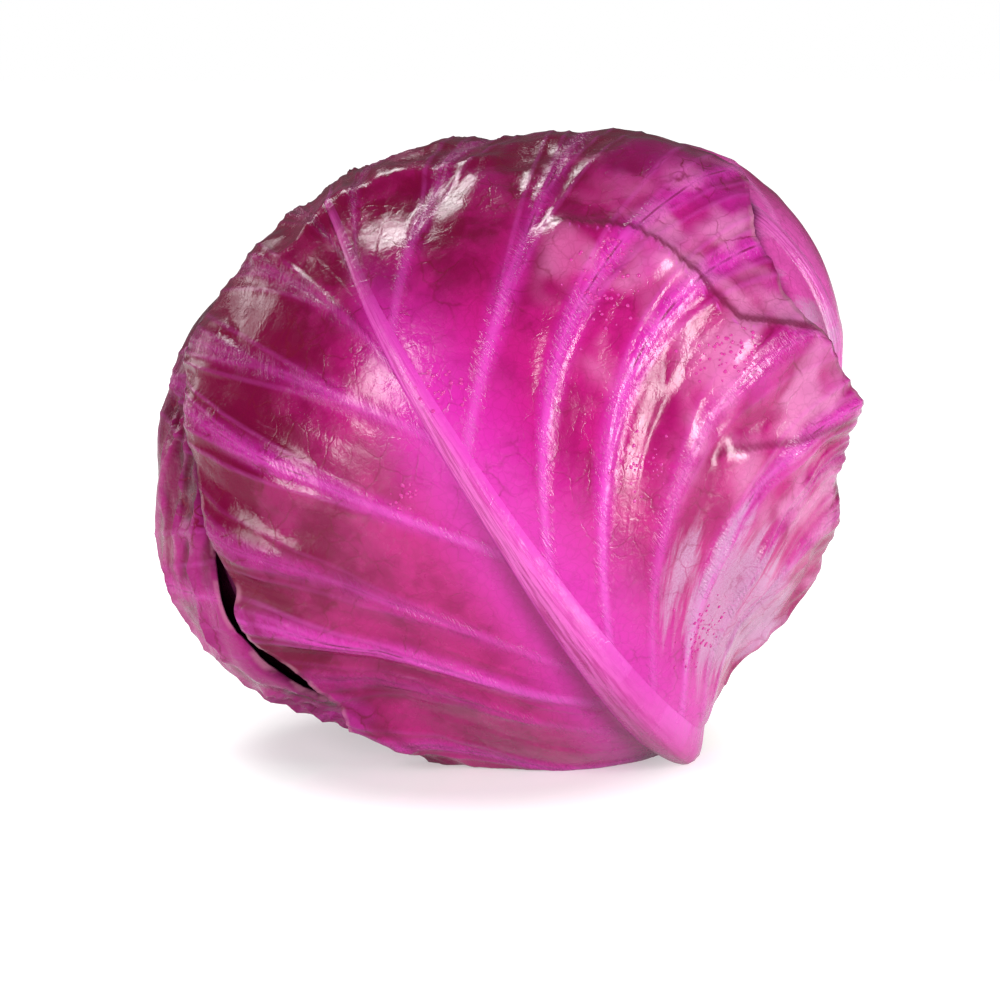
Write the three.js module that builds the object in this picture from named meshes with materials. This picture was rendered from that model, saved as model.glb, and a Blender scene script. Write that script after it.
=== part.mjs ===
// A red cabbage head lying on its side: a dense heart on a conical stalk, wrapped in five large leaves.
// Each leaf is drawn flat, in millimetres, round its midrib and side veins. It is then wrapped on the head
// and laid over the leaves beneath it. Millimetres, +Z up, the origin below the middle of the head.
import * as THREE from "three";

// The head and how it lies
const HEAD_CENTRE = new THREE.Vector3(-0.06, 0.01, 74.5); // height of the head's middle above the table
// Outline seen from the front: distance from the middle at every 20 degrees, from +X up over +Z and round
const OUTLINE = [82, 91.8, 93.4, 87.5, 78, 71.5, 70, 71.5, 81, 86, 91, 88.8, 78, 78.6, 85.8, 87.4, 79.6, 81.4];
const DEPTH_RADIUS = 82; // from the middle to the front and to the back
const STALK_LEAN = 57; // degrees that the stalk end points below the horizon, to +X
const STALK_TURN = 4; // degrees that the stalk end points away to +Y
const LOBES = [
  { swell: 0.7, along: [3.1, 2.3, -2.7], phase: 0.4 },
  { swell: 0.5, along: [-5.2, 4.4, 3.1], phase: 2.0 },
];

// How leaves are drawn flat and laid on each other
const WRAP_RADIUS = 86; // millimetres of flat leaf for each radian round the head
const LEAF_CENTRE = 100; // degrees from the stalk to where each drawing touches the head
const LAYER_PITCH = 2.3;
const BLADE = 1.1; // thickness of the blade
const RIM = 0.8; // thickness at the leaf's edge
const LAYERS_DEPTH = 7.2; // from the outside of the head down to the heart's leaves
const HEART_INSET = 2.4;
const DRAPE = 30; // distance over which an upper leaf comes down past the edge of a lower one
const TUCK = 14; // distance over which a leaf's waves fade before the next leaf covers them
const TUCK_MARGIN = 10; // distance from an upper leaf's edge within which the leaf below has no waves
const VEIN_RIDGE = 0.8; // height of a side vein's ridge
const CROWN_CALM = 0.55; // share of its waves that a leaf loses towards the crown
const HEEL_Y = -133;
const TIP_Y = 140;

// The midrib, from the heel to the tip
const RIB_Y = [HEEL_Y, -100, -60, -20, 20, 60, 100, TIP_Y];
const RIB_HALF_WIDTH = [9.5, 8.2, 6, 4, 2.7, 1.8, 1.2, 0.8];
const RIB_HEIGHT = [7.6, 5.6, 3.6, 2.2, 1.3, 0.7, 0.3, 0.1];
const HEEL_ROUNDING = 9;
const RIB_CLEARANCE = 16; // half-width of the bump that a rib pushes into the leaf above it
const COVERED_RIB = 0.62; // the ribs of the leaves below are this share of the outermost leaf's rib

// The stalk is a cone that narrows into the heart
const STALK_HALF_ANGLE = 9.2;
const STALK_INNER = 38; // distance of its inner end from the head's middle
const STALK_FACE = 79;
const COLLAR = { radius: 14.4, from: 74, to: 77, lobes: 5, notch: 1.4 };
const POCKET_GAP = 0.8;

const degrees = THREE.MathUtils.degToRad;
const { lerp, clamp, smoothstep } = THREE.MathUtils;

// The head's own directions: to the stalk, to the front, and across to the upper right
const toStalk = new THREE.Vector3(
  Math.cos(degrees(STALK_LEAN)) * Math.cos(degrees(STALK_TURN)),
  Math.sin(degrees(STALK_TURN)),
  -Math.sin(degrees(STALK_LEAN)) * Math.cos(degrees(STALK_TURN)),
);
const toFront = new THREE.Vector3(0, -1, 0).addScaledVector(toStalk, toStalk.y).normalize();
const toSide = new THREE.Vector3().crossVectors(toFront, toStalk);

// Radius of the head's outside, leaves included, in a direction from its middle
function headRadius(dir) {
  const place = ((Math.atan2(dir.z, dir.x) / (2 * Math.PI) + 1) % 1) * OUTLINE.length;
  const around = [-1, 0, 1, 2].map((k) => [OUTLINE.at((Math.floor(place) + k) % OUTLINE.length)]);
  const [seen] = splineAt(around, 1 + place - Math.floor(place));
  let radius = lerp(DEPTH_RADIUS, seen, (1 - dir.y * dir.y) ** 1.5);
  for (const { swell, along, phase } of LOBES) {
    radius += swell * Math.sin(dir.x * along[0] + dir.y * along[1] + dir.z * along[2] + phase);
  }
  return radius;
}

// Value of a table at y, straight between its entries
function tableAt(ys, values, y) {
  const last = ys.length - 1;
  if (y <= ys[0]) return values[0];
  if (y >= ys[last]) return values[last];
  const i = ys.findIndex((v) => v > y) - 1;
  return lerp(values[i], values[i + 1], (y - ys[i]) / (ys[i + 1] - ys[i]));
}

// Smooth curve through a list of points, at a place counted in entries
function splineAt(points, place) {
  const i = Math.min(Math.floor(place), points.length - 2);
  const t = place - i;
  const at = (k) => points[clamp(k, 0, points.length - 1)];
  return at(0).map((_, axis) => {
    const [a, b, c, d] = [at(i - 1), at(i), at(i + 1), at(i + 2)].map((p) => p[axis]);
    return b + 0.5 * t * (c - a + t * (2 * a - 5 * b + 4 * c - d + t * (3 * (b - c) + d - a)));
  });
}

// Each vein: where it leaves the midrib (y), its bend (x, y) and its end on the edge (x, y).
// The first and last entries are the leaf's own edge, at the heel and at the tip.
const FRONT_VEINS = {
  right: [
    [-133, 30, -128, 85, -119],
    [-125, 45, -68, 108, -94],
    [-112, 62, -46, 112, -72],
    [-95, 52, -34, 108, -50],
    [-78, 46, -8, 99, -20],
    [-57, 42, 20, 102, 8],
    [-32, 36, 40, 116, 34],
    [3, 40, 44, 103, 92],
    [38, 24, 72, 72, 123],
    [66, 8, 98, 30, 139],
    [140, 4, 140, 10, 139.5],
  ],
  left: [
    [-133, -28, -125, -48, -108],
    [-126, -40, -112, -75, -84],
    [-118, -50, -88, -86, -44],
    [-92, -38, -58, -85, -17],
    [-76, -44, -40, -79, 5],
    [-62, -34, -22, -75, 28],
    [-24, -33, 14, -70, 62],
    [10, -24, 42, -66, 84],
    [30, -8, 66, -50, 112],
    [60, -2, 92, -26, 133],
    [140, -4, 140, -10, 139.5],
  ],
};

// Folds of the front leaf: a crest line, its height, and how far it falls away on its left and its right
const FRONT_FOLDS = [
  { line: [[107, -46], [93, -21], [77, -7], [72, 14], [67, 28], [54, 40]], height: 2.6, left: 11, right: 5 },
  { line: [[-30, 92], [-19, 85], [3, 93], [23, 89], [52, 82]], height: 1.8, left: 9, right: 5 },
  { line: [[58, -36], [77, -47], [104, -57]], height: 1.8, left: 5, right: 9 },
  { line: [[-70, -66], [-78, -27], [-70, 8]], height: 1.6, left: 8, right: 5 },
];
const FOLD_FADE = 14; // distance over which a fold dies out past its ends

// Side veins by rule, for the leaves that mostly lie beneath others
const BASE_REACH = 138; // from a drawing's middle down to the lowest leaf edge
function regularVeins(count, halfWidth, side, baseLobe) {
  const veins = [];
  for (let i = 0; i <= count + 1; i++) {
    const share = i / (count + 1);
    const angle = degrees(lerp(-baseLobe, 86, share));
    const end = [halfWidth * Math.cos(angle), (angle < 0 ? BASE_REACH : TIP_Y) * Math.sin(angle)];
    const start = i > count ? TIP_Y : lerp(HEEL_Y, 110, share ** 0.9);
    const bendY = lerp(start, end[1], 0.62) + 6 * (1 - share);
    veins.push([start, side * end[0] * 0.42, bendY, side * end[0], end[1]]);
  }
  return veins;
}

// The leaves, from the outermost inwards. turn is the midrib's place round the head, in degrees
const REGULAR_VEINS = 5;
const COVERED_LEAF = { rows: 24, columns: 8, halfWidths: [88, 88], baseLobes: [52, 52], wave: [2.4, 2.4] };
const LEAVES = [
  {
    name: "front_leaf",
    turn: -4,
    veins: FRONT_VEINS,
    folds: FRONT_FOLDS,
    rows: 60,
    columns: 11,
    wave: [4.2, 4.6],
    seed: 3,
  },
  { name: "left_leaf", turn: -134, halfWidths: [96, 116], baseLobes: [56, 76], wave: [2.8, 2.4], seed: 7 },
  { name: "right_leaf", turn: 74, halfWidths: [100, 92], baseLobes: [60, 56], wave: [2.6, 2.8], seed: 11 },
  { name: "back_leaf", turn: 168, columns: 6, seed: 19 },
  { name: "under_leaf", turn: -57, columns: 7, seed: 23 },
].map((leaf) => ({ ...COVERED_LEAF, ...leaf }));

function seededRandom(seed) {
  let state = seed;
  return () => {
    state = (state * 16807) % 2147483647;
    return state / 2147483647;
  };
}

// Adds to a leaf its directions on the head, its veins, its wave heights and its outline
function prepareLeaf(leaf) {
  const turn = degrees(leaf.turn);
  const centre = degrees(LEAF_CENTRE);
  const meridian = toFront.clone().multiplyScalar(Math.cos(turn)).addScaledVector(toSide, Math.sin(turn));
  leaf.across = toFront.clone().multiplyScalar(-Math.sin(turn)).addScaledVector(toSide, Math.cos(turn));
  leaf.normal = toStalk.clone().multiplyScalar(Math.cos(centre)).addScaledVector(meridian, Math.sin(centre));
  leaf.up = toStalk.clone().multiplyScalar(-Math.sin(centre)).addScaledVector(meridian, Math.cos(centre));
  leaf.veins ??= {
    left: regularVeins(REGULAR_VEINS, leaf.halfWidths[0], -1, leaf.baseLobes[0]),
    right: regularVeins(REGULAR_VEINS, leaf.halfWidths[1], 1, leaf.baseLobes[1]),
  };
  leaf.intervals = leaf.veins.left.length - 1;
  const random = seededRandom(leaf.seed);
  const heights = () => leaf.veins.left.map(() => lerp(0.2, 1, random()));
  leaf.crests = { left: heights(), right: heights() };
  leaf.outline = outlineOf(leaf);
}

// Flat place of a row (0 to intervals) on a side (-1 or 1); share runs from 0 at the midrib to 1 at the edge
function flatPoint(leaf, row, side, share) {
  const [start, bendX, bendY, endX, endY] = splineAt(side < 0 ? leaf.veins.left : leaf.veins.right, row);
  const startX = side * tableAt(RIB_Y, RIB_HALF_WIDTH, start);
  const u = 1 - share;
  return [
    u * u * startX + 2 * u * share * bendX + share * share * endX,
    u * u * start + 2 * u * share * bendY + share * share * endY,
  ];
}

// Edge distance from the drawing's middle, for each angle round it
const OUTLINE_STEPS = 180;
function outlineOf(leaf) {
  const edge = [];
  const steps = leaf.intervals * 6;
  for (let i = 0; i <= steps; i++) {
    for (const side of [-1, 1]) edge.push(flatPoint(leaf, (i / steps) * leaf.intervals, side, 1));
  }
  for (const row of [0, leaf.intervals]) {
    for (const side of [-1, 1]) {
      for (let j = 0; j < 8; j++) edge.push(flatPoint(leaf, row, side, j / 8));
    }
  }
  const polar = edge.map(([x, y]) => [Math.atan2(y, x), Math.hypot(x, y)]).sort((p, q) => p[0] - q[0]);
  const angles = [polar.at(-1)[0] - 2 * Math.PI, ...polar.map((p) => p[0]), polar[0][0] + 2 * Math.PI];
  const reach = [polar.at(-1)[1], ...polar.map((p) => p[1]), polar[0][1]];
  return Array.from({ length: OUTLINE_STEPS }, (_, i) =>
    tableAt(angles, reach, (i / OUTLINE_STEPS) * 2 * Math.PI - Math.PI),
  );
}

function outlineAt(leaf, x, y) {
  const place = ((Math.atan2(y, x) + Math.PI) / (2 * Math.PI)) * OUTLINE_STEPS;
  const i = Math.floor(place);
  return lerp(leaf.outline[i % OUTLINE_STEPS], leaf.outline[(i + 1) % OUTLINE_STEPS], place - i);
}

// Direction from the head's middle for a flat place, and back
function wrap(leaf, x, y) {
  const distance = Math.hypot(x, y) || 1e-9;
  const angle = distance / WRAP_RADIUS;
  return leaf.normal.clone().multiplyScalar(Math.cos(angle))
    .addScaledVector(leaf.across, (Math.sin(angle) * x) / distance)
    .addScaledVector(leaf.up, (Math.sin(angle) * y) / distance);
}

function unwrap(leaf, dir) {
  const [x, y] = [dir.dot(leaf.across), dir.dot(leaf.up)];
  const scale = (WRAP_RADIUS * Math.acos(clamp(dir.dot(leaf.normal), -1, 1))) / (Math.hypot(x, y) || 1e-9);
  return [x * scale, y * scale];
}

// 1 where a leaf covers a direction and for a margin past its edge, falling to 0 over a further distance
function cover(leaf, dir, distance, margin = 2) {
  const [x, y] = unwrap(leaf, dir);
  return 1 - smoothstep(Math.hypot(x, y) - outlineAt(leaf, x, y) - margin, 0, distance);
}

// Radius of the bed that a leaf lies on: the heart, raised by each leaf further in
function bedRadius(rank, dir) {
  let radius = headRadius(dir) - LAYERS_DEPTH;
  for (const lower of LEAVES.slice(rank + 1)) {
    const [x, y] = unwrap(lower, dir);
    const rib = 1.1 * COVERED_RIB * tableAt(RIB_Y, RIB_HEIGHT, y) * Math.exp(-((x / RIB_CLEARANCE) ** 2));
    radius += cover(lower, dir, DRAPE) * (LAYER_PITCH + rib);
  }
  return radius;
}

function exposure(rank, dir) {
  const uncovered = (share, upper) => share * (1 - cover(upper, dir, TUCK, TUCK_MARGIN));
  return LEAVES.slice(0, rank).reduce(uncovered, 1);
}

// The flat spot below: the whole stack is pressed in so that the outermost leaf there lies on the table
const SPOT_LEAF = 1;
const SPOT_STEP = 20; // distance over which the front leaf's edge steps down to the leaf on the table
function pressed(dir) {
  if (dir.z > -0.5) return 1;
  const underFront = cover(LEAVES[0], dir, SPOT_STEP);
  const outermost = lerp(bedRadius(SPOT_LEAF, dir), bedRadius(0, dir), underFront) + BLADE;
  return Math.min(1, HEAD_CENTRE.z / -dir.z / outermost);
}

function placed(dir, radius, floor = 0) {
  const point = dir.clone().multiplyScalar(radius * pressed(dir)).add(HEAD_CENTRE);
  point.z = Math.max(point.z, floor);
  return point;
}

// Lift of the blade off its bed: crests along the veins that grow towards the edge, with valleys between
function waveLift(leaf, row, side, share) {
  const i = Math.min(Math.floor(row), leaf.intervals - 1);
  const phase = row - i;
  const crests = side < 0 ? leaf.crests.left : leaf.crests.right;
  const crest = lerp(crests[i], crests[i + 1], smoothstep(phase, 0, 1));
  const crestShape = 0.5 + 0.5 * Math.cos(2 * Math.PI * phase);
  const ridge = VEIN_RIDGE * Math.max(0, 1 - 4 * Math.min(phase, 1 - phase)) * Math.min(1, 5 * share);
  const calm = 1 - CROWN_CALM * smoothstep(row / leaf.intervals, 0.5, 0.8);
  return ridge + leaf.wave[side < 0 ? 0 : 1] * crest * crestShape * calm * share ** (side < 0 ? 2.2 : 1.5);
}

// Lift of a leaf's folds at a flat place: the nearest point of each crest line, and the side it lies on
function foldLift(leaf, x, y) {
  let lift = 0;
  for (const { line, height, left, right } of leaf.folds ?? []) {
    let nearest = { distance: Infinity };
    for (let i = 0; i < line.length - 1; i++) {
      const [[ax, ay], [bx, by]] = [line[i], line[i + 1]];
      const [dx, dy] = [bx - ax, by - ay];
      const place = ((x - ax) * dx + (y - ay) * dy) / (dx * dx + dy * dy);
      const held = clamp(place, 0, 1);
      const distance = Math.hypot(x - ax - held * dx, y - ay - held * dy);
      const beyond = Math.abs(place - held) * Math.hypot(dx, dy);
      const across = (y - ay) * dx - (x - ax) * dy;
      if (distance < nearest.distance) nearest = { distance, beyond, across };
    }
    const fall = nearest.distance / (nearest.across > 0 ? left : right);
    lift += height * Math.exp(-fall * fall) * (1 - smoothstep(nearest.beyond, 0, FOLD_FADE));
  }
  return lift;
}

// A closed sheet from two grids of points that share their rim
function closedSheet(outer, inner) {
  const rows = outer.length;
  const columns = outer[0].length;
  const positions = [...outer.flat(), ...inner.flat()].flatMap((p) => p.toArray());
  const index = [];
  const at = (layer, i, j) => layer * rows * columns + i * columns + j;
  const quad = (a, b, c, d) => index.push(a, b, c, a, c, d);
  for (let i = 0; i < rows - 1; i++) {
    for (let j = 0; j < columns - 1; j++) {
      quad(at(0, i, j), at(0, i, j + 1), at(0, i + 1, j + 1), at(0, i + 1, j));
      index.push(at(1, i, j), at(1, i + 1, j + 1), at(1, i, j + 1));
      index.push(at(1, i, j), at(1, i + 1, j), at(1, i + 1, j + 1));
    }
  }
  for (let i = 0; i < rows - 1; i++) {
    quad(at(0, i + 1, 0), at(1, i + 1, 0), at(1, i, 0), at(0, i, 0));
    quad(at(0, i, columns - 1), at(1, i, columns - 1), at(1, i + 1, columns - 1), at(0, i + 1, columns - 1));
  }
  for (let j = 0; j < columns - 1; j++) {
    quad(at(0, 0, j), at(1, 0, j), at(1, 0, j + 1), at(0, 0, j + 1));
    quad(at(0, rows - 1, j + 1), at(1, rows - 1, j + 1), at(1, rows - 1, j), at(0, rows - 1, j));
  }
  const geometry = new THREE.BufferGeometry();
  geometry.setAttribute("position", new THREE.Float32BufferAttribute(positions, 3));
  geometry.setIndex(index);
  return geometry;
}

// Columns of a leaf's grid, from its left edge over the midrib to its right edge
const RIB_COLUMNS = [-0.6, 0, 0.6];
function leafColumns(leaf) {
  const flank = Array.from({ length: leaf.columns + 1 }, (_, j) => j / leaf.columns);
  return [
    ...flank.toReversed().map((share) => ({ side: -1, share })),
    ...RIB_COLUMNS.map((rib) => ({ side: Math.sign(rib) || 1, rib })),
    ...flank.map((share) => ({ side: 1, share })),
  ];
}

function leafGeometry(leaf, rank) {
  const columns = leafColumns(leaf);
  const outer = [];
  const inner = [];
  for (let i = 0; i <= leaf.rows; i++) {
    const row = (i / leaf.rows) * leaf.intervals;
    const outerRow = [];
    const innerRow = [];
    for (const { side, share = 0, rib } of columns) {
      const [flankX, y] = flatPoint(leaf, row, side, share);
      const x = rib === undefined ? flankX : Math.abs(flankX) * rib;
      const dir = wrap(leaf, x, y);
      const lift = exposure(rank, dir) * (waveLift(leaf, row, side, share) + foldLift(leaf, x, y));
      const bed = bedRadius(rank, dir) + lift;
      const rounded = Math.sqrt(1 - (1 - clamp((y - HEEL_Y) / HEEL_ROUNDING, 0, 1)) ** 2);
      const across = rib === undefined ? 0 : (1 - rib * rib) ** 0.8;
      const ribHeight = tableAt(RIB_Y, RIB_HEIGHT, y) * across * rounded * (rank > 0 ? COVERED_RIB : 1);
      outerRow.push(placed(dir, bed + lerp(BLADE, RIM, share ** 4) + ribHeight));
      innerRow.push(placed(dir, bed, RIM));
    }
    outer.push(outerRow);
    inner.push(innerRow);
  }
  return closedSheet(outer, inner);
}

// Direction at an angle from the stalk and a turn round it
function directionAt(fromStalk, turn) {
  return toStalk.clone().multiplyScalar(Math.cos(fromStalk))
    .addScaledVector(toFront, Math.sin(fromStalk) * Math.cos(turn))
    .addScaledVector(toSide, Math.sin(fromStalk) * Math.sin(turn));
}

// A closed skin of rings round the stalk's axis; radiusAt gives the radius of a ring's points
function ringSkin(ringAngles, segments, radiusAt) {
  const last = ringAngles.length - 1;
  const points = [placed(toStalk, radiusAt(0, 0, toStalk))];
  for (let i = 1; i < last; i++) {
    for (let j = 0; j < segments; j++) {
      const turn = (j / segments) * 2 * Math.PI;
      const dir = directionAt(ringAngles[i], turn);
      points.push(placed(dir, radiusAt(i, turn, dir)));
    }
  }
  const crown = toStalk.clone().negate();
  points.push(placed(crown, radiusAt(last, 0, crown)));
  const index = [];
  const at = (i, j) => 1 + (i - 1) * segments + (j % segments);
  for (let j = 0; j < segments; j++) {
    index.push(0, at(1, j + 1), at(1, j));
    index.push(points.length - 1, at(last - 1, j), at(last - 1, j + 1));
    for (let i = 1; i < last - 1; i++) {
      index.push(at(i, j), at(i, j + 1), at(i + 1, j + 1), at(i, j), at(i + 1, j + 1), at(i + 1, j));
    }
  }
  const geometry = new THREE.BufferGeometry();
  geometry.setAttribute("position", new THREE.Float32BufferAttribute(points.flatMap((p) => p.toArray()), 3));
  geometry.setIndex(index);
  return geometry;
}

// The heart: tight inner leaves as shallow steps that wind to the crown, with a pocket for the stalk
const HEART_RINGS = 18;
const HEART_SEGMENTS = 30;
const HEART_LEAVES = 5;
const HEART_STEP = 1.2;
function heartGeometry() {
  const pocket = degrees(STALK_HALF_ANGLE) + POCKET_GAP / STALK_FACE;
  const rings = [0, pocket, pocket + degrees(0.6)];
  for (let i = 1; i < HEART_RINGS; i++) rings.push(lerp(rings[2], Math.PI, i / HEART_RINGS));
  rings.push(Math.PI);
  return ringSkin(rings, HEART_SEGMENTS, (ring, turn, dir) => {
    if (ring < 2) return STALK_INNER - POCKET_GAP;
    const fromStalk = rings[ring];
    const winding = (turn / (2 * Math.PI)) * HEART_LEAVES + fromStalk;
    const step = HEART_STEP * Math.sin(fromStalk) * (1 - (winding - Math.floor(winding)));
    return headRadius(dir) - LAYERS_DEPTH - HEART_INSET - step;
  });
}

// The stalk: a tapering cone that widens to a lobed collar, where older leaves were cut away
const STALK_SEGMENTS = 30;
function stalkGeometry() {
  const taper = Math.tan(degrees(STALK_HALF_ANGLE));
  const profile = [
    [0, STALK_INNER],
    [STALK_INNER * taper, STALK_INNER],
    [COLLAR.from * taper, COLLAR.from],
    [COLLAR.radius, COLLAR.to],
    [COLLAR.radius - 0.4, STALK_FACE - 1.2],
    [COLLAR.radius - 2, STALK_FACE],
    [0, STALK_FACE + 0.6],
  ].map(([x, y]) => new THREE.Vector2(x, y));
  const geometry = new THREE.LatheGeometry(profile, STALK_SEGMENTS);
  const points = geometry.attributes.position;
  for (let i = 0; i < points.count; i++) {
    const [x, y, z] = [points.getX(i), points.getY(i), points.getZ(i)];
    if (y < COLLAR.to || Math.hypot(x, z) < 1) continue;
    const notch = COLLAR.notch * (0.5 - 0.5 * Math.cos(COLLAR.lobes * Math.atan2(z, x)));
    const narrowed = 1 - notch / COLLAR.radius;
    points.setXYZ(i, x * narrowed, y, z * narrowed);
  }
  const stand = new THREE.Quaternion().setFromUnitVectors(new THREE.Vector3(0, 1, 0), toStalk);
  return geometry.applyQuaternion(stand).translate(...HEAD_CENTRE.toArray());
}

const cabbage = new THREE.Group();

function addPiece(name, geometry, color, roughness) {
  geometry.computeVertexNormals();
  const mesh = new THREE.Mesh(geometry, new THREE.MeshStandardMaterial({ color, roughness, metalness: 0 }));
  mesh.name = name;
  cabbage.add(mesh);
}

const LEAF_COLOURS = [0xb5307c, 0x8f2460, 0xc03f8e, 0xa02a6e, 0x8a1f58];
LEAVES.forEach(prepareLeaf);
LEAVES.forEach((leaf, rank) => addPiece(leaf.name, leafGeometry(leaf, rank), LEAF_COLOURS[rank], 0.38));
addPiece("heart", heartGeometry(), 0x9c3f7c, 0.45);
addPiece("stalk", stalkGeometry(), 0xcbb293, 0.8);

export default cabbage;
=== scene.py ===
import math
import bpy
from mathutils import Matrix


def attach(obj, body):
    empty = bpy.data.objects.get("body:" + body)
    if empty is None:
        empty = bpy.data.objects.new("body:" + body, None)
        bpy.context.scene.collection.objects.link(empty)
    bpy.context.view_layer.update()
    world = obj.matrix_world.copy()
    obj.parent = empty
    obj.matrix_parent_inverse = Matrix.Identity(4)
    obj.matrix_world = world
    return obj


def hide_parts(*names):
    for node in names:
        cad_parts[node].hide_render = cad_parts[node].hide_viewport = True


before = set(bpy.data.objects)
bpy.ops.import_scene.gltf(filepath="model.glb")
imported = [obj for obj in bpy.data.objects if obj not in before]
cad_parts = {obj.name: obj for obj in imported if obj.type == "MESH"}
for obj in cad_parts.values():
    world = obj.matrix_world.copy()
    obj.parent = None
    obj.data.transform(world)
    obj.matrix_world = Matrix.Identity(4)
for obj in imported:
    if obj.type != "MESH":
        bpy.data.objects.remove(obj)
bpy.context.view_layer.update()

from types import SimpleNamespace

import bpy
import numpy as np
from mathutils import Vector

print("stage: frame loaded")

# Lengths below are millimetres, as in the part's source, until a mesh is made.
head = {
    "centre": np.array([-0.06, 0.01, 74.5]),
    # distances from the centre to the photo's outline, every 20 degrees
    "outline": [
        *(82, 91.8, 93.4, 87.5, 78, 71.5, 70, 71.5, 81),
        *(86, 91, 88.8, 78, 78.6, 85.8, 87.4, 79.6, 81.4),
    ],
    "depthRadius": 82.0,
    "lobes": [(0.7, (3.1, 2.3, -2.7), 0.4), (0.5, (-5.2, 4.4, 3.1), 2.0)],
    "stalkLean": 57.0,
    "stalkTurn": 4.0,
    "wrapRadius": 86.0,
    "leafCentre": 100.0,
    "layerPitch": 2.3,
    "blade": 1.1,
    "rim": 0.8,
    "layersDepth": 7.2,
    "heartInset": 2.4,
    "drape": 30.0,
    "tuck": 14.0,
    "tuckMargin": 10.0,
    "spotStep": 20.0,
    "heelY": -133.0,
    "tipY": 140.0,
}
rib = {
    "y": [-133, -100, -60, -20, 20, 60, 100, 140],
    "halfWidth": [9.5, 8.2, 6, 4, 2.7, 1.8, 1.2, 0.8],
    "height": [7.6, 5.6, 3.6, 2.2, 1.3, 0.7, 0.3, 0.1],
    "heelRounding": 9.0,
    "clearance": 16.0,
    "coveredShare": 0.62,
}

lean = math.radians(head["stalkLean"])
turn = math.radians(head["stalkTurn"])
toStalk = np.array([math.cos(lean) * math.cos(turn), math.sin(turn), -math.sin(lean) * math.cos(turn)])
toFront = np.array([0.0, -1.0, 0.0]) + toStalk * toStalk[1]
toFront /= np.linalg.norm(toFront)
toSide = np.cross(toFront, toStalk)


def smoothstep(value, low, high):
    t = np.clip((value - low) / (high - low), 0, 1)
    return t * t * (3 - 2 * t)


# A curve's value at t between b and c, with a and d beyond them
def curveAt(a, b, c, d, t):
    return b + 0.5 * t * (c - a + t * (2 * a - 5 * b + 4 * c - d + t * (3 * (b - c) + d - a)))


def bell(distance, reach):
    return np.exp(-((distance / reach) ** 2))


def whole(value):
    return np.floor(value).astype(int)


def splineAt(points, place):
    points = np.asarray(points, float)
    if points.ndim == 1:
        points = points[:, None]
    last = len(points) - 1
    i = np.minimum(whole(place), last - 1)
    t = (place - i)[:, None]
    a, b, c, d = (points[np.clip(i + k, 0, last)] for k in (-1, 0, 1, 2))
    return curveAt(a, b, c, d, t)


def headRadius(direction):
    outline = np.array(head["outline"], float)
    place = (np.arctan2(direction[:, 2], direction[:, 0]) / (2 * math.pi) % 1) * len(outline)
    i = whole(place)
    t = place - i
    a, b, c, d = (outline[(i + k) % len(outline)] for k in (-1, 0, 1, 2))
    seen = curveAt(a, b, c, d, t)
    share = np.clip(1 - direction[:, 1] ** 2, 0, 1) ** 1.5
    radius = head["depthRadius"] * (1 - share) + seen * share
    for swell, along, phase in head["lobes"]:
        radius = radius + swell * np.sin(direction @ np.array(along) + phase)
    return radius


# The front leaf's veins, flat, each with its start on the rib, its bend x and y, and its end x and y
frontVeins = {
    "right": [
        [-133, 30, -128, 85, -119],
        [-125, 45, -68, 108, -94],
        [-112, 62, -46, 112, -72],
        [-95, 52, -34, 108, -50],
        [-78, 46, -8, 99, -20],
        [-57, 42, 20, 102, 8],
        [-32, 36, 40, 116, 34],
        [3, 40, 44, 103, 92],
        [38, 24, 72, 72, 123],
        [66, 8, 98, 30, 139],
        [140, 4, 140, 10, 139.5],
    ],
    "left": [
        [-133, -28, -125, -48, -108],
        [-126, -40, -112, -75, -84],
        [-118, -50, -88, -86, -44],
        [-92, -38, -58, -85, -17],
        [-76, -44, -40, -79, 5],
        [-62, -34, -22, -75, 28],
        [-24, -33, 14, -70, 62],
        [10, -24, 42, -66, 84],
        [30, -8, 66, -50, 112],
        [60, -2, 92, -26, 133],
        [140, -4, 140, -10, 139.5],
    ],
}
frontVeinStrength = {
    "right": [0, 0.5, 0.35, 0.9, 0.5, 1, 0.9, 0.8, 0.75, 0.4, 0],
    "left": [0, 0.3, 0.7, 0.25, 0.9, 0.4, 0.8, 0.6, 0.45, 0.2, 0],
}
# Each fold: its height, its reach to the left and right of its line, and the line
frontFolds = [
    (3.51, 11, 5, [(107, -46), (93, -21), (77, -7), (72, 14), (67, 28), (54, 40)]),
    (2.43, 9, 5, [(-30, 92), (-19, 85), (3, 93), (23, 89), (52, 82)]),
    (2.43, 5, 9, [(58, -36), (77, -47), (104, -57)]),
    (2.16, 8, 5, [(-70, -66), (-78, -27), (-70, 8)]),
]


def regularVeins(halfWidth, side, baseLobe, count=5, baseReach=138):
    veins = []
    for i in range(count + 2):
        share = i / (count + 1)
        angle = math.radians(-baseLobe + (86 + baseLobe) * share)
        end = (halfWidth * math.cos(angle), (baseReach if angle < 0 else head["tipY"]) * math.sin(angle))
        start = head["tipY"] if i > count else head["heelY"] + (110 - head["heelY"]) * share**0.9
        bendY = start + (end[1] - start) * 0.62 + 6 * (1 - share)
        veins.append([start, side * end[0] * 0.42, bendY, side * end[0], end[1]])
    return veins


def seededRandom(seed):
    state = seed
    while True:
        state = state * 16807 % 2147483647
        yield state / 2147483647


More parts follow.
